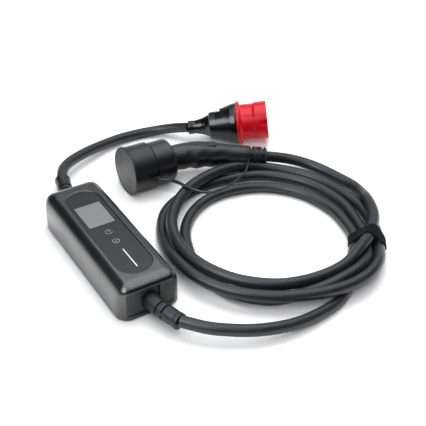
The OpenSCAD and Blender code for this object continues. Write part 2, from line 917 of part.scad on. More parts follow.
// Seat of the oval inlay on top of the grip
module at_inlay() {
    c = grip_point(0.62);
    translate([c.x, c.y, c.z + grip_half(0.62) - inlay_t - 1])
        rotate([0, 0, 90 + relief_yaw])
            children();
}

module connector_inlay() {
    color("#3c3e41")
    in_connector()
        at_inlay()
            linear_extrude(inlay_t)
                stadium(inlay_w, inlay_l);
}

module connector_nose() {
    start = disc_t + 5;
    color("#1c1d1f")
    in_connector()
    difference() {
        translate([start, 0, 0])
            rotate([0, 90, 0])
                cylinder(r = nose_r, h = head_start - start);
        translate([start - 1, -nose_r, nose_r - 6])
            cube([head_start - start, 2 * nose_r, 10]);
        power_contacts(8 + fit_gap, start - 1, head_start);
        signal_contacts(4.6 + fit_gap, start - 1, head_start);
    }
}

module power_contacts(d, z0, h) {
    for (y = [-15, 0, 15])
        translate([z0, y, y == 0 ? -2 : -1])
            rotate([0, 90, 0])
                cylinder(d = d, h = h);
    for (y = [-9, 9])
        translate([z0, y, -15])
            rotate([0, 90, 0])
                cylinder(d = d, h = h);
}

module signal_contacts(d, z0, h) {
    for (y = [-9, 9])
        translate([z0, y, 13])
            rotate([0, 90, 0])
                cylinder(d = d, h = h);
}

module connector_contacts() {
    color(metal_colour)
    in_connector()
        power_contacts(8, head_start - 26, 26);
}

module connector_signal_contacts() {
    color(metal_colour)
    in_connector()
        signal_contacts(4.6, head_start - 24, 24);
}

module at_relief() {
    in_connector()
        translate(grip_end)
            rotate([0, relief_pitch, relief_yaw])
                children();
}

module connector_strain_relief() {
    groove_r = relief_r - 1.6;
    rib = relief_l * 0.14;
    color(rubber_colour)
    at_relief()
    difference() {
        turned([[0, 0], [0, groove_r], [ring_l + 1, groove_r], [ring_l + 1, relief_r],
            [relief_l - 2, relief_r - 0.6], [relief_l, relief_r - 2.6], [relief_l, 0]]);
        for (i = [0 : 2])
            translate([ring_l + 3 + 2 * rib * i, 0, 0])
                relief_slot(rib, i % 2 == 0 ? 0 : 90);
    }
}

// Slot round the strain relief, left closed on two opposite sides
module relief_slot(w, turn) {
    difference() {
        rotate([0, 90, 0])
            cylinder(r = relief_r + 1, h = w);
        translate([-1, 0, 0])
            rotate([0, 90, 0])
                cylinder(r = relief_r - 3.6, h = w + 2);
        rotate([turn + 40, 0, 0])
            translate([-1, -2.5, -relief_r - 2])
                cube([w + 2, 5, 2 * relief_r + 4]);
    }
}

module tether_ring() {
    inner = relief_r - 1.6 + 0.05;
    color(rubber_colour)
    at_relief()
        turned([[0.5, inner], [0.5, relief_r + 0.8], [ring_l + 0.5, relief_r + 0.8], [ring_l + 0.5, inner]]);
}

module cap_tether() {
    color(rubber_colour)
        tube(tether_route, tether_d / 2, 8);
}

module supply_cord() {
    color(rubber_colour)
        tube(supply_route, cable_r, 12);
}

module charging_lead_box() {
    color(rubber_colour)
        tube(box_lead_route, cable_r, 12);
}

module charging_lead_handle() {
    color(rubber_colour)
        tube(handle_lead_route, cable_r, 12);
}

// The coil's outer shape, with room for the strap under it
module charging_coil() {
    w = coil_out_r - coil_in_r;
    color(rubber_colour)
    translate(coil_centre)
    difference() {
        rotate_extrude($fn = 120)
            translate([coil_in_r + w / 2, coil_h / 2])
                rounded_rect(w, coil_h, coil_edge_r);
        rotate([0, 0, strap_angle])
            translate([coil_in_r - 2, -strap_w / 2 - 0.3, -1])
                cube([w + 4, strap_w + 0.6, strap_t + 1.3]);
    }
}

module coil_strap() {
    w = coil_out_r - coil_in_r + 2 * strap_slack;
    h = coil_h - strap_t + 0.3;
    color("#1a1a1c")
    translate(coil_centre)
    rotate([90, 0, strap_angle])
        translate([coil_in_r - strap_slack + w / 2, strap_t + h / 2, -strap_w / 2])
            linear_extrude(strap_w)
                difference() {
                    rounded_rect(w + 2 * strap_t, h + 2 * strap_t, strap_corner_r + strap_t);
                    rounded_rect(w, h, strap_corner_r);
                }
}

module front_plate_upper() {
    plate_upper();
}

module front_plate_lower() {
    plate_lower();
}

module rear_plate_upper() {
    at_rear()
        plate_upper();
}

module rear_plate_lower() {
    at_rear()
        plate_lower();
}

module front_boot() {
    boot(front_bend, front_rise);
}

module rear_boot() {
    at_rear()
        boot(rear_bend, rear_rise);
}

module terminal_block_supply() {
    terminal_block(block_y);
}

module terminal_block_vehicle() {
    terminal_block(-block_y);
}

module cores_supply() {
    cores();
}

module cores_vehicle() {
    at_rear()
        cores();
}

housing_cover();
base_cover();
case_seal();
case_screws();
front_plate_upper();
front_plate_lower();
rear_plate_upper();
rear_plate_lower();
control_panel();
display();
light_bar();
front_boot();
rear_boot();
main_board();
relays();
power_supply();
current_sensor();
terminal_block_supply();
terminal_block_vehicle();
cores_supply();
cores_vehicle();
plug_body();
plug_gland();
plug_latch();
plug_flange_ring();
plug_sleeve();
plug_insert();
plug_phase_pins();
plug_earth_pin();
connector_cap();
connector_shell();
connector_nose();
connector_contacts();
connector_signal_contacts();
connector_inlay();
connector_strain_relief();
tether_ring();
cap_tether();
supply_cord();
charging_lead_box();
charging_coil();
charging_lead_handle();
coil_strap();
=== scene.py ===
"""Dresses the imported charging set: cables and coil, strap, printed symbols, finishes, light and camera."""

import logging
import math
from dataclasses import dataclass, field
from enum import Enum

import bmesh
import bpy
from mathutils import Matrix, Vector, noise


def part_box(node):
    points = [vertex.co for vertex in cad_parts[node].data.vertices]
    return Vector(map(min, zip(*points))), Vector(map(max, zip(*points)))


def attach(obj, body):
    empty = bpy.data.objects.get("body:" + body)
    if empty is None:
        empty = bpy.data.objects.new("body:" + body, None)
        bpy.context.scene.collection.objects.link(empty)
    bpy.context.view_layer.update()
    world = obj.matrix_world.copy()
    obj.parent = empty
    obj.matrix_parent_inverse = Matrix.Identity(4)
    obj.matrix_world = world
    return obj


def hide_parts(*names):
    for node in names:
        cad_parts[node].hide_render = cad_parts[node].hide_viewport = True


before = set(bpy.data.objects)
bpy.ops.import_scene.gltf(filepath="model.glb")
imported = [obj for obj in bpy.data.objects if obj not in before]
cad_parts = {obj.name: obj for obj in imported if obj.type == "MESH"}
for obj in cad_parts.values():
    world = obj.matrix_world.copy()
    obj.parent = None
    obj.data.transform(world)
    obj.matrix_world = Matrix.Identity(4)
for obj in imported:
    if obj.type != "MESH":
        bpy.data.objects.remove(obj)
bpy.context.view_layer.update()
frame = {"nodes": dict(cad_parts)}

log = logging.getLogger("charging_set")
MM = 0.001
SMOOTHING_PASSES = 4
Point = tuple[float, float, float]
Shade = tuple[float, float, float]


class FarEnd(Enum):
    """What a cord ends in."""

    PLUG = "plug"
    CONNECTOR = "connector"
    FITTING = "fitting"


class Lay(Enum):
    """How a cord lies."""

    LOOSE = "loose"
    COILED = "coiled"


class Stiffness(Enum):
    """How stiff a cord is."""

    STIFF = "stiff"
    MEDIUM = "medium"


class Light(Enum):
    """What a lamp does: lights the surfaces' own colour, or shows as a highlight in their gloss."""

    BODY = "body"
    GLOSS = "gloss"


class Graph:
    """A material's node tree, built by short calls."""

    def __init__(self, name: str) -> None:
        """Starts an empty tree with its output node."""
        self.material = bpy.data.materials.new(name)
        self.material.use_nodes = True
        self.nodes = self.material.node_tree.nodes
        self.links = self.material.node_tree.links
        self.nodes.clear()
        self.output = self.nodes.new("ShaderNodeOutputMaterial")

    def add(self, kind: str, sockets: dict | None = None, **settings) -> bpy.types.Node:
        """Adds a node.

        Args:
            kind: the node's type, without the ShaderNode that it begins with.
            sockets: a value or another node's output for each named input.
            settings: the node's own options.

        Returns:
            The new node.
        """
        made = self.nodes.new("ShaderNode" + kind)
        for option, value in settings.items():
            setattr(made, option, value)
        for name, value in (sockets or {}).items():
            if isinstance(value, bpy.types.NodeSocket):
                self.links.new(value, made.inputs[name])
            else:
                made.inputs[name].default_value = value
        return made

    def speckle(self, where: bpy.types.NodeSocket, scale: float, detail: float = 3.0) -> bpy.types.NodeSocket:
        """Returns a noise pattern of that many patches a metre."""
        made = self.add("TexNoise", {"Vector": where, "Scale": scale, "Detail": detail})
        return made.outputs[0]

    def ramp(self, fac: bpy.types.NodeSocket, stops: list[tuple[float, Shade]]) -> bpy.types.NodeSocket:
        """Returns a colour that runs through the stops as fac goes from 0 to 1."""
        made = self.add("ValToRGB", {"Fac": fac})
        elements = made.color_ramp.elements
        while len(elements) < len(stops):
            elements.new(0.5)
        for element, (place, shade) in zip(elements, stops):
            element.position = place
            element.color = (*shade, 1.0)
        return made.outputs[0]

    def spread(self, value: bpy.types.NodeSocket, low: float, high: float) -> bpy.types.NodeSocket:
        """Returns a noise pattern's middle range stretched from low to high."""
        made = self.add("MapRange", {"Value": value, "From Min": 0.3, "From Max": 0.7,
                                     "To Min": low, "To Max": high})
        return made.outputs[0]

    def sum(self, operation: str, first: bpy.types.NodeSocket | float,
            second: bpy.types.NodeSocket | float) -> bpy.types.NodeSocket:
        """Returns what a Math node makes of two values."""
        return self.add("Math", {0: first, 1: second}, operation=operation).outputs[0]

    def finish(self, shader: bpy.types.Node) -> bpy.types.Material:
        """Joins the shader to the output and returns the material."""
        self.links.new(shader.outputs[0], self.output.inputs["Surface"])
        return self.material


def tint(shade: Shade, by: float) -> Shade:
    """Returns the shade made lighter or darker by a factor."""
    return tuple(min(1.0, part * by) for part in shade)


@dataclass(frozen=True)
class Moulded:
    """Moulded plastic, rubber or metal: close tones in soft patches, a polish that varies and a fine grain.

    The patch and the grain are counts a metre. The grain's depth and the soft edge are in metres.
    """

    name: str
    shade: Shade
    rough: tuple[float, float] = (0.35, 0.45)
    spread: float = 0.15
    patch: float = 60.0
    grain: float = 2500.0
    depth: float = 0.00002
    edge: float = 0.0004
    metal: float = 0.0
    shine: float = 0.5

    def material(self) -> bpy.types.Material:
        """Returns the finish as a material on Object coordinates."""
        g = Graph(self.name)
        where = g.add("TexCoord").outputs["Object"]
        patches = g.speckle(where, self.patch)
        tones = [(0.3, tint(self.shade, 1 - self.spread)), (0.7, tint(self.shade, 1 + self.spread))]
        colour = g.ramp(patches, tones)
        soft = g.add("Bevel", {"Radius": self.edge}, samples=6)
        fine = g.speckle(where, self.grain, 2.0)
        bump = g.add("Bump", {"Height": fine, "Distance": self.depth, "Strength": 1.0,
                              "Normal": soft.outputs[0]})
        return g.finish(g.add("BsdfPrincipled", {
            "Base Color": colour, "Roughness": g.spread(patches, *self.rough), "Metallic": self.metal,
            "Specular IOR Level": self.shine, "Normal": bump.outputs[0]}))


@dataclass(frozen=True)
class Sheath:
    """A cable's sheath, with faint drawn streaks along its length, on the cable's own map."""

    name: str
    shade: Shade
    rough: tuple[float, float]
    length: float
    turn: float

    def material(self) -> bpy.types.Material:
        """Returns the finish as a material whose streaks follow the cable."""
        g = Graph(self.name)
        where = g.add("TexCoord").outputs["UV"]
        along = g.add("Mapping", {"Vector": where, "Scale": (self.length * 25, self.turn * 350, 1)})
        streaks = g.speckle(along.outputs[0], 1.0, 4.0)
        skin = g.add("Mapping", {"Vector": where, "Scale": (self.length * 1500, self.turn * 1500, 1)})
        grain = g.speckle(skin.outputs[0], 1.0, 2.0)
        colour = g.ramp(streaks, [(0.3, tint(self.shade, 0.82)), (0.7, tint(self.shade, 1.2))])
        bump = g.add("Bump", {"Height": grain, "Distance": 0.00004, "Strength": 1.0})
        return g.finish(g.add("BsdfPrincipled", {
            "Base Color": colour, "Roughness": g.spread(streaks, *self.rough), "Specular IOR Level": 0.32,
            "Normal": bump.outputs[0]}))


@dataclass(frozen=True)
class Glass:
    """The display's window: an unlit grey panel under clear glass, with painted shade that darkens it towards
    its edges.
    """

    name: str
    shade: Shade
    centre: Point
    half: tuple[float, float]

    def material(self) -> bpy.types.Material:
        """Returns the finish as a material centred on the window."""
        g = Graph(self.name)
        where = g.add("TexCoord").outputs["Object"]
        size = (1 / self.half[0], 1 / self.half[1], 0)
        place = tuple(-a * b for a, b in zip(self.centre, size))
        local = g.add("Mapping", {"Vector": where, "Location": place, "Scale": size})
        disc = g.add("TexGradient", {"Vector": local.outputs[0]}, gradient_type="SPHERICAL")
        cloud = g.speckle(where, 90.0)
        base = g.ramp(cloud, [(0.3, tint(self.shade, 0.97)), (0.7, tint(self.shade, 1.03))])
        # Painted shade: the window's colour is darkened towards its edges.
        painted_edge_shade = g.ramp(disc.outputs[0], [(0.0, (0.93,) * 3), (0.5, (1, 1, 1))])
        colour = g.add("MixRGB", {"Fac": 1.0, "Color1": base, "Color2": painted_edge_shade},
                       blend_type="MULTIPLY").outputs[0]
        return g.finish(g.add("BsdfPrincipled", {
            "Base Color": colour, "Roughness": g.spread(cloud, 0.3, 0.36), "Coat Weight": 0.4,
            "Coat Roughness": 0.08}))


@dataclass(frozen=True)
class HookAndLoop:
    """The strap's fuzzy pile: tangled fibre in two scales, with a soft sheen."""

    name: str
    shade: Shade

    def material(self) -> bpy.types.Material:
        """Returns the finish as a material on Object coordinates."""
        g = Graph(self.name)
        where = g.add("TexCoord").outputs["Object"]
        pile = g.speckle(where, 1400.0, 6.0)
        tufts = g.add("TexVoronoi", {"Vector": where, "Scale": 900.0})
        colour = g.ramp(pile, [(0.35, tint(self.shade, 0.5)), (0.75, tint(self.shade, 2.2))])
        first = g.add("Bump", {"Height": pile, "Distance": 0.0006, "Strength": 1.0})
        bump = g.add("Bump", {"Height": tufts.outputs["Distance"], "Distance": 0.0005, "Strength": 0.8,
                              "Normal": first.outputs[0]})
        return g.finish(g.add("BsdfPrincipled", {
            "Base Color": colour, "Roughness": g.spread(pile, 0.8, 1.0), "Sheen Weight": 0.02,
            "Sheen Roughness": 0.5, "Specular IOR Level": 0.12, "Normal": bump.outputs[0]}))


def only(*objects: bpy.types.Object) -> None:
    """Selects these objects alone, the first one active."""
    bpy.ops.object.select_all(action="DESELECT")
    for item in objects:
        item.select_set(True)
    bpy.context.view_layer.objects.active = objects[0]


def apply_place(piece: bpy.types.Object) -> None:
    """Puts the piece's place, turn and scale into its mesh."""
    only(piece)
    bpy.ops.object.transform_apply(location=True, rotation=True, scale=True)


def soften(piece: bpy.types.Object, degrees: float) -> None:
    """Shades the piece smooth wherever its faces meet at less than an angle."""
    only(piece)
    bpy.ops.object.shade_smooth_by_angle(angle=math.radians(degrees))


def put_on(piece: bpy.types.Object, material: bpy.types.Material) -> None:
    """Puts one material on a piece."""
    piece.data.materials.clear()
    piece.data.materials.append(material)


def bridge(shell: bmesh.types.BMesh, low: list[bmesh.types.BMVert], high: list[bmesh.types.BMVert]) -> None:
    """Joins two rings of as many points by a band of faces."""
    for k in range(len(low)):
        n = (k + 1) % len(low)
        shell.faces.new((low[k], low[n], high[n], high[k]))


def as_object(shell: bmesh.types.BMesh, name: str) -> bpy.types.Object:
    """Puts a finished mesh into the scene.

    Args:
        shell: the mesh, which is freed.
        name: the new object's name.

    Returns:
        The object, at the origin.
    """
    mesh = bpy.data.meshes.new(name)
    shell.to_mesh(mesh)
    shell.free()
    made = bpy.data.objects.new(name, mesh)
    bpy.context.scene.collection.objects.link(made)
    return made


def fix(piece: bpy.types.Object, name: str, finish: bpy.types.Material) -> bpy.types.Object:
    """Names a piece, gives it its finish, and makes it ride on the set.

    Args:
        piece: the finished object.
        name: its name.
        finish: its material.

    Returns:
        The piece.
    """
    piece.name = piece.data.name = name
    put_on(piece, finish)
    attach(piece, "root")
    log.info("%s: %d faces", name, len(piece.data.polygons))
    return piece


def through(points: list[Vector], step: float) -> list[Vector]:
    """Runs a smooth curve through points and spaces it evenly.

    Args:
        points: the route's points, in order.
        step: the spacing in metres.

    Returns:
        The points of the curve, both ends kept.
    """
    ends = [2 * points[0] - points[1], *points, 2 * points[-1] - points[-2]]
    line = []
    for a, b, c, d in zip(ends, ends[1:], ends[2:], ends[3:]):
        knots = [0.0]
        for p, q in ((a, b), (b, c), (c, d)):
            knots.append(knots[-1] + math.sqrt((q - p).length))
        parts = max(2, int((c - b).length / step))
        for k in range(parts):
            t = knots[1] + (knots[2] - knots[1]) * k / parts
            line.append(barry_goldman([a, b, c, d], knots, t))
    line.append(points[-1])
    for _ in range(SMOOTHING_PASSES):
        line[1:-1] = [0.25 * p + 0.5 * q + 0.25 * r for p, q, r in zip(line, line[1:], line[2:])]
    return evenly(line, step)


def barry_goldman(corners: list[Vector], knots: list[float], t: float) -> Vector:
    """Returns the point at t of the curve through the middle two of four corners."""
    row = list(corners)
    for spans in ([(0, 1), (1, 2), (2, 3)], [(0, 2), (1, 3)], [(1, 2)]):
        row = [p.lerp(q, (t - knots[low]) / (knots[high] - knots[low]))
               for p, q, (low, high) in zip(row, row[1:], spans)]
    return row[0]


def evenly(line: list[Vector], step: float) -> list[Vector]:
    """Returns the same line with its points about one step apart."""
    runs = [0.0]
    for p, q in zip(line, line[1:]):
        runs.append(runs[-1] + (q - p).length)
    parts = round(runs[-1] / step)
    made, i = [], 0
    for k in range(parts + 1):
        want = runs[-1] * k / parts
        while i < len(runs) - 2 and runs[i + 1] < want:
            i += 1
        made.append(line[i].lerp(line[i + 1], (want - runs[i]) / (runs[i + 1] - runs[i])))
    return made


def run_length(line: list[Vector]) -> float:
    """Returns the length of a line of points."""
    return sum((q - p).length for p, q in zip(line, line[1:]))


def sweep(line: list[Vector], radius: float, sides: int,
          taper: tuple[float, float] = (1.0, 1.0)) -> bpy.types.Object:
    """Makes a closed round tube along a line, with the curve's own map on it.

    Args:
        line: its centreline in metres.
        radius: the tube's radius.
        sides: how many sides it has round.
        taper: the share of the radius that it has at its start and its end.

    Returns:
        The tube as a mesh object at the origin.
    """
    curve = bpy.data.curves.new("run", "CURVE")
    curve.dimensions = "3D"
    curve.bevel_depth = radius
    curve.bevel_resolution = sides // 4 - 1
    curve.use_fill_caps = True
    spline = curve.splines.new("POLY")
    spline.points.add(len(line) - 1)
    for k, (point, place) in enumerate(zip(spline.points, line)):
        point.co = (*place, 1.0)
        point.radius = taper[0] + (taper[1] - taper[0]) * k / (len(line) - 1)
    tube = bpy.data.objects.new("run", curve)
    bpy.context.scene.collection.objects.link(tube)
    only(tube)
    bpy.ops.object.convert(target="MESH")
    tube = bpy.context.view_layer.objects.active
    bpy.ops.object.mode_set(mode="EDIT")
    bpy.ops.mesh.select_all(action="SELECT")
    bpy.ops.mesh.remove_doubles(threshold=1e-6)
    bpy.ops.mesh.normals_make_consistent(inside=False)
    bpy.ops.object.mode_set(mode="OBJECT")
    soften(tube, 50)
    return tube


@dataclass
class Cord:
    """One free cord: its route in millimetres, its thickness in metres, what it hides and what it carries."""

    name: str
    route: list[Point]
    diameter: float
    far_end: FarEnd
    lay: Lay
    stiffness: Stiffness
    hides: list[str]
    carries: list[str]
    slot: str
    shade: Shade
    rough: tuple[float, float]
    sides: int = 24
    step: float = 5.0 * MM
    taper: tuple[float, float] = (1.0, 1.0)

    def build(self) -> bpy.types.Object:
        """Sweeps the cord, dresses it, hides the CAD parts that it replaces and logs its length.

        Returns:
            The cord's object.
        """
        line = through([Vector(p) * MM for p in self.route], self.step)
        length = run_length(line)
        skin = Sheath(self.name + "_sheath", self.shade, self.rough, length, math.pi * self.diameter)
        tube = sweep(line, self.diameter / 2, self.sides, self.taper)
        fix(tube, self.name, skin.material())
        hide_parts(*self.hides)
        log.info("%s: %.2f m long", self.name, length)
        return tube


@dataclass
class Coil:
    """The charging lead's turns, wound about one centre: angle in degrees, radius and height in millimetres."""

    centre: tuple[float, float] = (222.0, -71.0)
    turns: list[list[Point]] = field(default_factory=lambda: [
        [(-88, 173.4, 8.8), (-80, 162.4, 8.8), (-72, 148.7, 8.8), (-64, 138.5, 8.9), (-56, 133.1, 8.9),
         (-45, 130.9, 9), (-33, 128.6, 9.9), (-24, 124, 9.5), (-10, 120.4, 8.9), (0, 119.5, 8.9),
         (30, 118.9, 8.9), (60, 120, 8.9), (90, 121.8, 8.9), (110, 122.1, 8.9), (130, 120.6, 8.9),
         (150, 119.8, 8.9), (165, 120.3, 8.9), (180, 124.3, 8.8), (200, 133.2, 8.8), (220, 143.1, 8.9)],
        [(-120, 150.1, 11), (-110, 149.6, 14.6), (-100, 150.6, 18), (-90, 153.1, 21.7), (-80, 156, 25),
         (-70, 158.5, 25.3), (-60, 157.4, 21.4), (-50, 151.2, 12.3), (-42, 147.7, 9.7), (-33, 146, 9.7),
         (-24, 141, 9.4), (-10, 139.7, 8.9), (0, 141.9, 8.9), (30, 148.7, 8.9), (60, 153.3, 8.9),
         (90, 152.8, 8.9), (110, 156.8, 8.9), (130, 159.8, 8.9), (150, 154, 9), (170, 151, 17.6),
         (180, 151.9, 21.6), (200, 156.2, 24.7), (220, 158.3, 24.8)],
        [(-120, 159.5, 24.8), (-110, 161.8, 25.8), (-100, 165.7, 26.3), (-90, 170.2, 26), (-80, 173.9, 25.5),
         (-70, 176.2, 25.4), (-60, 174, 23.9), (-50, 167.4, 18.2), (-42, 164.4, 12.9), (-33, 162.7, 10.2),
         (-24, 161.3, 9.5), (-10, 161.5, 8.8), (0, 161.6, 8.8), (30, 167.7, 8.9), (60, 169.8, 14.2),
         (75, 163.2, 22.5), (90, 155.2, 25.7), (110, 149, 25.8), (130, 143, 24.8), (150, 139.5, 24.8),
         (170, 135.4, 24.6), (180, 134.7, 25.3), (200, 133, 25.8), (220, 133.3, 25.1)],
        [(-120, 134.7, 24.9), (-110, 135.2, 24.9), (-100, 135.4, 25), (-90, 136.8, 25.5), (-80, 139, 26.1),
         (-70, 141.3, 27.2), (-60, 141.4, 28.5), (-50, 145, 29.6), (-42, 150.4, 28.9), (-33, 154.6, 26.9),
         (-24, 161, 26.6), (-18, 164, 25.9), (-8, 169.8, 23.7)],
    ])

    def at(self, angle: float, radius: float, height: float) -> Point:
        """Returns the place at that angle and radius about the coil's centre."""
        turn = math.radians(angle)
        return (self.centre[0] + radius * math.cos(turn), self.centre[1] + radius * math.sin(turn), height)

    def points(self) -> list[Point]:
        """Returns the points of all the turns, one after the other."""
        return [self.at(*place) for turn in self.turns for place in turn]

    def crossing(self, angle: float) -> list[tuple[float, float]]:
        """Returns the radius and height of every turn where it passes an angle between -50 and -20 degrees."""
        found = []
        for turn in self.turns:
            for (a, r, z), (b, s, y) in zip(turn, turn[1:]):
                if a <= angle < b:
                    share = (angle - a) / (b - a)
                    found.append((r + (s - r) * share, z + (y - z) * share))
        return found


@dataclass
class CoilStrap:
    """The hook-and-loop strap round the bundle of turns, a band stretched from strand to strand.

    The wave and the fuzz of its pile are each a count a metre and a depth in metres.
    """

    coil: Coil
    angle: float = -40.6
    width: float = 23.5
    thickness: float = 1.7
    reach: float = 9.3
    bundle_radius: float = 148.0
    rows: int = 11
    rim_points: int = 36
    outline_points: int = 96
    wave: tuple[float, float] = (420.0, 0.0005)
    fuzz: tuple[float, float] = (1500.0, 0.0004)
    floor_gap: float = 0.0001
    seed: int = 1

    def outline(self, angle: float) -> list[tuple[float, float]]:
        """Returns the band's middle line at an angle of the coil: a loop a little off all the turns there."""
        rim = [
            (r + self.reach * math.cos(t), z + self.reach * math.sin(t))
            for r, z in self.coil.crossing(angle)
            for t in (math.tau * k / self.rim_points for k in range(self.rim_points))
        ]
        rim.sort()
        hull: list[tuple[float, float]] = []
        for sweep_points in (rim, rim[::-1]):
            part: list[tuple[float, float]] = []
            for p in sweep_points:
                while len(part) > 1 and turns_right(part[-2], part[-1], p):
                    part.pop()
                part.append(p)
            hull += part[:-1]
        return respaced(hull, self.outline_points)

    def build(self) -> bpy.types.Object:
        """Models the band row by row across its width, thickens it and roughens its pile.

        Returns:
            The strap's object.
        """
        span = math.degrees(self.width / self.bundle_radius)
        shell = bmesh.new()
        rings = []
        for row in range(self.rows):
            angle = self.angle + span * (row / (self.rows - 1) - 0.5)
            loop = [self.coil.at(angle, r, z) for r, z in self.outline(angle)]
            rings.append([shell.verts.new(Vector(p) * MM) for p in loop])
        for low, high in zip(rings, rings[1:]):
            bridge(shell, low, high)
        strap = as_object(shell, "strap")
        self.thicken(strap)
        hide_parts("coil_strap")
        return strap

    def thicken(self, strap: bpy.types.Object) -> None:
        """Gives the band its thickness and its uneven pile."""
        only(strap)
        wall = strap.modifiers.new("wall", "SOLIDIFY")
        wall.thickness = self.thickness * MM
        wall.offset = 0.0
        bpy.ops.object.modifier_apply(modifier=wall.name)
        fine = strap.modifiers.new("fine", "SUBSURF")
        fine.levels = fine.render_levels = 2
        bpy.ops.object.modifier_apply(modifier=fine.name)
        noise.seed_set(self.seed)
        for vertex in strap.data.vertices:
            wave, fuzz = (noise.noise_vector(vertex.co * count) * depth
                          for count, depth in (self.wave, self.fuzz))
            vertex.co += wave + fuzz
            vertex.co.z = max(vertex.co.z, self.floor_gap)
        soften(strap, 80)


def turns_right(a: tuple[float, float], b: tuple[float, float], c: tuple[float, float]) -> bool:
    """Returns True if going from a by b to c doesn't turn left."""
    return (b[0] - a[0]) * (c[1] - a[1]) - (b[1] - a[1]) * (c[0] - a[0]) <= 0


def respaced(loop: list[tuple[float, float]], count: int) -> list[tuple[float, float]]:
    """Returns a closed outline with that many points, evenly spaced along it."""
    closed = [Vector((*p, 0)) for p in [*loop, loop[0]]]
    return [(p.x, p.y) for p in evenly(closed, run_length(closed) / count)[:count]]


@dataclass
class PanelSymbols:
    """Two printed key symbols on the control panel: open rings, one round clock hands and one round a tick."""

    places: tuple[Point, Point] = ((0.0, -5.0, 55.22), (0.0, -28.5, 55.22))
    spans: tuple[tuple[float, float], tuple[float, float]] = ((20.0, 340.0), (65.0, 385.0))
    hands: tuple[tuple[float, float], ...] = ((0.0, 2.6), (0.0, 0.0), (1.9, -0.9))
    tick: tuple[tuple[float, float], ...] = ((-1.6, 0.4), (0.0, -1.3), (3.4, 3.6))
    ring: float = 4.7
    line: float = 0.4
    sides: int = 8
    flatness: float = 0.4

    def arc(self, centre: Point, start: float, end: float) -> list[Vector]:
        """Returns points of an arc about a symbol's centre, between two angles in degrees."""
        count = max(12, int(abs(end - start) / 6))
        angles = [math.radians(start + (end - start) * k / count) for k in range(count + 1)]
        return self.stroke(centre, tuple((self.ring * math.cos(t), self.ring * math.sin(t)) for t in angles))

    def stroke(self, centre: Point, offsets: tuple[tuple[float, float], ...]) -> list[Vector]:
        """Returns the points at these offsets from a symbol's centre."""
        return [Vector((centre[0] + x, centre[1] + y, centre[2])) * MM for x, y in offsets]

    def strokes(self) -> list[list[Vector]]:
        """Returns the symbols' lines."""
        upper, lower = self.places
        return [self.arc(upper, *self.spans[0]), self.stroke(upper, self.hands),
                self.arc(lower, *self.spans[1]), self.stroke(lower, self.tick)]

    def build(self) -> bpy.types.Object:
        """Draws the lines as flat printed ink.

        Returns:
            The symbols' object.
        """
        parts = [sweep(stroke, self.line / 2 * MM, self.sides) for stroke in self.strokes()]
        only(*parts)
        bpy.ops.object.join()
        ink = bpy.context.view_layer.objects.active
        only(ink)
        bpy.ops.transform.resize(value=(1, 1, self.flatness), center_override=(0, 0, self.places[0][2] * MM))
        apply_place(ink)
        return ink


@dataclass
class PanelTrim:
    """The thin sloping lip that closes the recess round the control panel's foil."""

    half: tuple[float, float] = (26.97, 106.97)
    heights: tuple[float, float] = (55.21, 55.95)
    width: float = 1.2
    steps: int = 48

    def ring(self, inset: float, height: float) -> list[Point]:
        """Returns the panel's outline, drawn in by an inset, at a height."""
        radius, straight = self.half[0] - inset, self.half[1] - self.half[0]
        ring = []
        for end, start in ((straight, 0.0), (-straight, 180.0)):
            for k in range(self.steps + 1):
                turn = math.radians(start + 180.0 * k / self.steps)
                ring.append((radius * math.cos(turn), end + radius * math.sin(turn), height))
        return ring

    def build(self) -> bpy.types.Object:
        """Joins three rings into a closed lip with a sloping face.

        Returns:
            The lip's object.
        """
        low, high = self.heights
        shell = bmesh.new()
        rings = [[shell.verts.new(Vector(p) * MM) for p in self.ring(inset, height)]
                 for inset, height in ((0.0, low), (0.0, high), (self.width, low))]
        for first, second in zip(rings, [*rings[1:], rings[0]]):
            bridge(shell, first, second)
        bmesh.ops.recalc_face_normals(shell, faces=shell.faces)
        lip = as_object(shell, "lip")
        soften(lip, 25)
        return lip


BLACK_SHELL = Moulded("black_shell", (0.003, 0.0031, 0.004), (0.28, 0.33), grain=900, depth=0.000004, patch=25,
                      edge=0.0008, shine=0.6)
MATTE_PLATE = Moulded("matte_plate", (0.008, 0.0082, 0.009), (0.5, 0.62), grain=1300, depth=0.00009)
PANEL_FOIL = Moulded("panel_foil", (0.0105, 0.0105, 0.0135), (0.3, 0.36), grain=2600, depth=0.000012,
                     edge=0.0003, shine=0.22)
BOOT_RUBBER = Moulded("boot_rubber", (0.007, 0.0078, 0.0125), (0.4, 0.5), grain=1800, depth=0.00003,
                      edge=0.0006, shine=0.25)
CAP_RUBBER = Moulded("cap_rubber", (0.0012, 0.0012, 0.0015), (0.42, 0.52), grain=1500, depth=0.00004,
                     edge=0.0014, shine=0.35)
GRIP_PLASTIC = Moulded("grip_plastic", (0.0014, 0.0014, 0.002), (0.38, 0.46), grain=1400, depth=0.00004,
                       edge=0.0008, shine=0.4)
PLUG_BLACK = Moulded("plug_black", (0.003, 0.0031, 0.004), (0.2, 0.26), grain=700, depth=0.000004, edge=0.0006,
                     shine=0.3)
PLUG_RED = Moulded("plug_red", (0.72, 0.004, 0.016), (0.26, 0.34), spread=0.05, grain=700, depth=0.000004,
                   edge=0.0006, shine=0.2)
PANEL_LIP = Moulded("panel_lip", (0.012, 0.012, 0.014), (0.2, 0.26), grain=900, depth=0.000003, edge=0.0001)
PLUG_GREY = Moulded("plug_grey", (0.16, 0.16, 0.17), (0.4, 0.5))
LIGHT_GUIDE = Moulded("light_guide", (0.9, 0.91, 0.93), (0.3, 0.4), spread=0.02)
SEAL_FOAM = Moulded("seal_foam", (0.25, 0.26, 0.28), (0.8, 0.95), grain=1200, depth=0.0001)
BRIGHT_STEEL = Moulded("bright_steel", (0.6, 0.6, 0.62), (0.25, 0.4), metal=1.0, grain=1800)
CONTACT_METAL = Moulded("contact_metal", (0.72, 0.62, 0.42), (0.2, 0.35), metal=1.0, grain=1500)
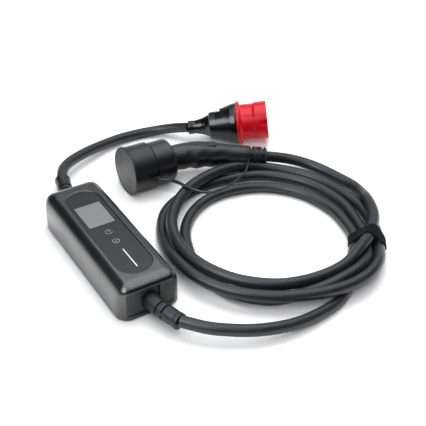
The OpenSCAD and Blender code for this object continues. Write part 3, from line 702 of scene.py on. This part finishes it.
BOARD_LAMINATE = Moulded("board_laminate", (0.02, 0.16, 0.07), (0.35, 0.5), spread=0.3, patch=300)
RELAY_BLUE = Moulded("relay_blue", (0.04, 0.1, 0.28), (0.35, 0.45))
CORE_STEEL = Moulded("core_steel", (0.35, 0.35, 0.37), (0.4, 0.5), metal=1.0)
TERMINAL_GREEN = Moulded("terminal_green", (0.07, 0.24, 0.11), (0.4, 0.5))
CORE_SLEEVES = Moulded("core_sleeves", (0.2, 0.12, 0.07), (0.4, 0.5))
INK = Moulded("printed_ink", (0.85, 0.86, 0.9), (0.5, 0.6), depth=0.000005, edge=0.00005)
PILE = HookAndLoop("hook_and_loop", (0.0012, 0.0012, 0.0013))

DISPLAY_GREY = (0.175, 0.177, 0.183)
# How far the display's painted edge shade reaches, as a share of the display's size.
DISPLAY_REACH = 0.75

FINISHES: list[tuple[Moulded, list[str]]] = [
    (BLACK_SHELL, ["housing_cover", "base_cover"]),
    (MATTE_PLATE, ["front_plate_upper", "front_plate_lower", "rear_plate_upper", "rear_plate_lower"]),
    (PANEL_FOIL, ["control_panel"]),
    (BOOT_RUBBER, ["front_boot", "rear_boot", "connector_strain_relief"]),
    (CAP_RUBBER, ["connector_cap", "tether_ring"]),
    (GRIP_PLASTIC, ["connector_shell", "connector_nose", "connector_inlay"]),
    (PLUG_BLACK, ["plug_body", "plug_gland"]),
    (PLUG_RED, ["plug_flange_ring", "plug_sleeve"]),
    (PLUG_GREY, ["plug_latch", "plug_insert"]),
    (LIGHT_GUIDE, ["light_bar"]),
    (SEAL_FOAM, ["case_seal"]),
    (BRIGHT_STEEL, ["case_screws"]),
    (CONTACT_METAL, ["plug_phase_pins", "plug_earth_pin", "connector_contacts", "connector_signal_contacts"]),
    (BOARD_LAMINATE, ["main_board"]),
    (RELAY_BLUE, ["relays"]),
    (CORE_STEEL, ["power_supply", "current_sensor"]),
    (TERMINAL_GREEN, ["terminal_block_supply", "terminal_block_vehicle"]),
    (CORE_SLEEVES, ["cores_supply", "cores_vehicle"]),
]

PLUG_PARTS = ["plug_body", "plug_gland", "plug_latch", "plug_flange_ring", "plug_sleeve", "plug_insert",
              "plug_phase_pins", "plug_earth_pin"]
CONNECTOR_PARTS = ["connector_cap", "connector_shell", "connector_nose", "connector_contacts",
                   "connector_signal_contacts", "connector_inlay", "connector_strain_relief"]


@dataclass
class Cables:
    """The supply cord, the charging lead with its coil, and the cap's tether."""

    coil: Coil
    supply_route: list[Point] = field(default_factory=lambda: [
        (10, 185, 28.5), (14, 197, 28.5), (22, 212, 27.5), (34, 225, 26), (53, 238, 23.5), (75, 249.5, 20.5),
        (100, 260, 17), (127, 269.5, 13), (153, 275.5, 10.5), (178, 276.5, 9), (200, 273.5, 9), (220, 266, 11),
        (237, 253.5, 16), (249, 240, 21), (258.8, 225, 26)])
    box_lead_route: list[Point] = field(default_factory=lambda: [
        (13, -186, 24), (22, -197, 23.5), (39, -216, 23), (60, -231, 22), (82, -244, 21), (107, -253, 19),
        (135, -258, 16), (160, -258, 13), (187, -255, 10.5), (215, -249, 9)])
    handle_lead_route: list[Point] = field(default_factory=lambda: [
        (403, -66, 13.5), (408, -38, 9.2), (403, -14, 9), (391, 27, 10), (371, 55, 15), (352, 70, 19),
        (338, 77, 22), (323, 83, 25)])
    tether_route: list[Point] = field(default_factory=lambda: [
        (135, 102.2, 32.7), (150, 93, 33), (156, 76, 36.3), (162, 57, 36.5), (171, 40, 36.5), (184, 27, 36.8),
        (202, 22, 38), (229, 29, 40), (246, 36, 40.5), (261, 47, 40), (272, 60, 38.5), (281.5, 71, 36.3),
        (286, 80.5, 34.6)])
    diameter: float = 17 * MM
    sheath: Shade = (0.0095, 0.0095, 0.0125)
    sheath_rough: tuple[float, float] = (0.4, 0.52)
    tether_diameter: float = 4.4 * MM
    tether_taper: tuple[float, float] = (1.3, 0.65)
    tether_shade: Shade = (0.005, 0.005, 0.006)
    tether_rough: tuple[float, float] = (0.4, 0.5)

    def build(self, strap: bpy.types.Object) -> None:
        """Args:
            strap: the strap, which goes with the charging lead.
        """
        lead = [*self.box_lead_route, *self.coil.points(), *self.handle_lead_route]
        Cord(name="supply_lead", route=self.supply_route, diameter=self.diameter, far_end=FarEnd.PLUG,
             lay=Lay.LOOSE, stiffness=Stiffness.STIFF, hides=["supply_cord"],
             carries=["rear_boot", *PLUG_PARTS], slot="cable", shade=self.sheath,
             rough=self.sheath_rough).build()
        Cord(name="charging_lead", route=lead, diameter=self.diameter, far_end=FarEnd.CONNECTOR,
             lay=Lay.COILED, stiffness=Stiffness.STIFF,
             hides=["charging_lead_box", "charging_coil", "charging_lead_handle"],
             carries=["front_boot", strap.name, *CONNECTOR_PARTS], slot="cable", shade=self.sheath,
             rough=self.sheath_rough).build()
        Cord(name="cap_cord", route=self.tether_route, diameter=self.tether_diameter, far_end=FarEnd.FITTING,
             lay=Lay.LOOSE, stiffness=Stiffness.MEDIUM, hides=["cap_tether"], carries=["tether_ring"],
             slot="cap_rubber", shade=self.tether_shade, rough=self.tether_rough, sides=16, step=3 * MM,
             taper=self.tether_taper).build()


LAMP_TINTS = {Light.BODY: (1.0, 1.0, 1.0), Light.GLOSS: (0.9, 0.94, 1.0)}


@dataclass(frozen=True)
class Lamp:
    """A soft rectangular lamp, which lights the surfaces' own colour or only shows in their gloss."""

    name: str
    place: Point
    size: tuple[float, float]
    glow: float
    part: Light
    aim: Point = (0.2, 0.0, 0.0)

    def build(self) -> None:
        """Hangs the lamp in its place and turns it to the point that it faces."""
        data = bpy.data.lights.new(self.name, "AREA")
        data.shape = "RECTANGLE"
        data.size, data.size_y = self.size
        data.energy = self.glow * math.pi * self.size[0] * self.size[1]
        data.color = LAMP_TINTS[self.part]
        lamp = bpy.data.objects.new(self.name, data)
        bpy.context.scene.collection.objects.link(lamp)
        lamp.location = self.place
        lamp.rotation_mode = "QUATERNION"
        lamp.rotation_quaternion = (Vector(self.aim) - Vector(self.place)).to_track_quat("-Z", "Y")
        lamp.visible_glossy = self.part is not Light.BODY
        lamp.visible_diffuse = self.part is not Light.GLOSS


LAMPS = [
    Lamp("overhead", (0.45, 0.25, 1.7), (1.3, 1.3), 4.6, Light.BODY),
    Lamp("front", (-0.3, -0.9, 1.3), (0.8, 0.8), 6.0, Light.BODY),
    Lamp("ceiling", (0.5, 0.3, 1.7), (2.0, 2.0), 4.7, Light.GLOSS),
    Lamp("key", (-0.85, -0.2, 1.05), (0.95, 0.95), 13.0, Light.GLOSS, (0.0, -0.1, 0.0)),
]


@dataclass
class Studio:
    """The pale floor, the room and the camera at the photograph's angle.

    The floor's glow is dimmed near the pieces as a painted contact shadow, which has a reach in metres, and a
    depth as the camera and as the gloss of a piece see it.
    """

    eye: Point = (-0.4107, -0.9754, 0.8537)
    gaze: Point = (0.4138, 0.6918, -0.5915)
    lens: float = 79.44
    sensor: float = 36.0
    floor_size: float = 7.0
    floor_shade: Shade = (0.82, 0.82, 0.83)
    glow: float = 0.52
    # How much more the floor glows for glossy rays: a painted brighter reflection of the floor in the pieces.
    sheen: float = 4.4
    contact_reach: float = 0.06
    contact_seen: float = 1.4
    contact_mirrored: float = 3.0
    bright_side: Point = (0.7, 0.65, -0.3)
    bright_range: tuple[float, float] = (0.25, 1.0)
    room_glow: tuple[float, float] = (0.02, 1.3)
    room_shade: Shade = (0.9, 0.94, 1.0)

    def floor(self) -> None:
        """Lays a wide pale floor that shows white to the camera; its lamp-lit shadow stays, and a painted
        contact shadow dims its glow near the pieces.
        """
        only_nothing()
        bpy.ops.mesh.primitive_plane_add(size=self.floor_size, location=(0.2, 0.0, 0.0))
        plane = bpy.context.object
        plane.name = "floor"
        plane.data.materials.append(self.floor_paint())

    def floor_paint(self) -> bpy.types.Material:
        """Returns the floor's material, which glows for the camera and, more strongly, for glossy pieces as a
        painted bright reflection; ambient occlusion dims the glow near the pieces as painted contact shadow.
        """
        g = Graph("pale_floor")
        ray = g.add("LightPath").outputs
        # Painted contact shadow: ambient occlusion dims the floor's glow near the pieces and in the gaps
        # between them.
        openness = g.add("AmbientOcclusion", {"Distance": self.contact_reach}, samples=8).outputs["AO"]
        seen = g.sum("MAXIMUM", ray["Is Camera Ray"], ray["Is Transmission Ray"])
        seen = g.sum("MULTIPLY", seen, g.sum("POWER", openness, self.contact_seen))
        shiny = g.sum("MULTIPLY", ray["Is Glossy Ray"], g.sum("POWER", openness, self.contact_mirrored))
        shiny = g.sum("MULTIPLY", shiny, self.sheen)
        glow = g.sum("MULTIPLY", g.sum("MAXIMUM", seen, shiny), self.glow)
        return g.finish(g.add("BsdfPrincipled", {
            "Base Color": (*self.floor_shade, 1), "Roughness": 0.85, "Emission Color": (1, 1, 1, 1),
            "Emission Strength": glow}))

    def room(self) -> None:
        """Surrounds the scene with a room that is bright behind the set and dark behind the camera."""
        world = bpy.data.worlds.new("studio")
        world.use_nodes = True
        nodes, links = world.node_tree.nodes, world.node_tree.links
        facing = nodes.new("ShaderNodeVectorMath")
        facing.operation = "DOT_PRODUCT"
        facing.inputs[1].default_value = self.bright_side
        strength = nodes.new("ShaderNodeMapRange")
        strength.inputs["From Min"].default_value, strength.inputs["From Max"].default_value = self.bright_range
        strength.inputs["To Min"].default_value, strength.inputs["To Max"].default_value = self.room_glow
        seen = nodes.new("ShaderNodeMath")
        seen.operation = "MAXIMUM"
        links.new(nodes.new("ShaderNodeTexCoord").outputs["Generated"], facing.inputs[0])
        links.new(facing.outputs["Value"], strength.inputs["Value"])
        links.new(nodes.new("ShaderNodeLightPath").outputs["Is Camera Ray"], seen.inputs[0])
        links.new(strength.outputs[0], seen.inputs[1])
        links.new(seen.outputs[0], nodes["Background"].inputs["Strength"])
        nodes["Background"].inputs["Color"].default_value = (*self.room_shade, 1)
        bpy.context.scene.world = world

    def camera(self) -> None:
        """Sets up the camera where the photograph was taken from."""
        data = bpy.data.cameras.new("camera")
        data.lens = self.lens
        data.sensor_width = self.sensor
        data.clip_start, data.clip_end = 0.05, 30.0
        camera = bpy.data.objects.new("camera", data)
        bpy.context.scene.collection.objects.link(camera)
        camera.location = self.eye
        camera.rotation_mode = "QUATERNION"
        camera.rotation_quaternion = Vector(self.gaze).to_track_quat("-Z", "Y")
        bpy.context.scene.camera = camera

    def build(self) -> None:
        """Sets up the floor, the lamps, the room and the camera."""
        self.floor()
        for lamp in LAMPS:
            lamp.build()
        self.room()
        bpy.context.scene.view_settings.view_transform = "Standard"
        self.camera()


def only_nothing() -> None:
    """Deselects everything."""
    bpy.ops.object.select_all(action="DESELECT")


def dress(nodes: dict[str, bpy.types.Object]) -> None:
    """Gives every CAD node that stays its finish.

    Args:
        nodes: the frame's nodes by name.
    """
    for finish, names in FINISHES:
        material = finish.material()
        for name in names:
            put_on(nodes[name], material)
    low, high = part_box("display")
    centre = tuple((low + high) / 2)
    half = ((high.x - low.x) * DISPLAY_REACH, (high.y - low.y) * DISPLAY_REACH)
    put_on(nodes["display"], Glass("display_glass", DISPLAY_GREY, centre, half).material())


def main() -> None:
    """Builds the set in order and reports each piece."""
    logging.basicConfig(level=logging.INFO, format="%(message)s")
    Studio().build()
    dress(frame["nodes"])
    coil = Coil()
    strap = fix(CoilStrap(coil).build(), "strap_band", PILE.material())
    Cables(coil).build(strap)
    fix(PanelSymbols().build(), "panel_symbols", INK.material())
    fix(PanelTrim().build(), "panel_trim", PANEL_LIP.material())


if __name__ == "__main__":
    main()
